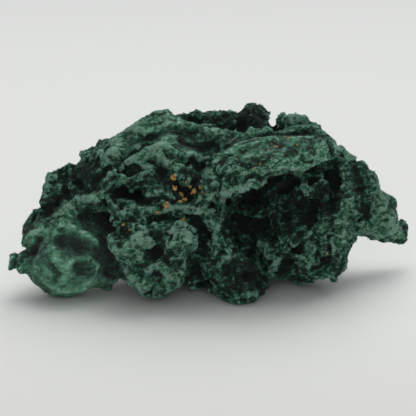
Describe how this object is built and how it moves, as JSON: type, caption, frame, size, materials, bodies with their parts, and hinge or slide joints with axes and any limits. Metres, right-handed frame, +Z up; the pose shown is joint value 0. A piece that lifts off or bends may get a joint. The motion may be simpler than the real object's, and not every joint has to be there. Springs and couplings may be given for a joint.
{
  "type": "malachite specimen",
  "caption": "Rough hand specimen of dark green fibrous malachite: a humped lump with an overhanging shelf, a deep cave below it, a swollen end and a thin jutting wing.",
  "frame": {"origin": "middle of the footprint of the stone's box, on the plane its feet rest on", "axes": "+Z up as it rests; +X along its length, towards the thin wing; its front, with the cave, faces -Y"},
  "size_m": [0.102, 0.0434, 0.0449],
  "materials": {
    "malachite": "matt fibrous velvet, dark green with paler grey-green crests",
    "limonite": "dull earthy rust-coloured grains in the creases"
  },
  "bodies": {
    "root": {"malachite": "malachite"}
  },
  "joints": []
}
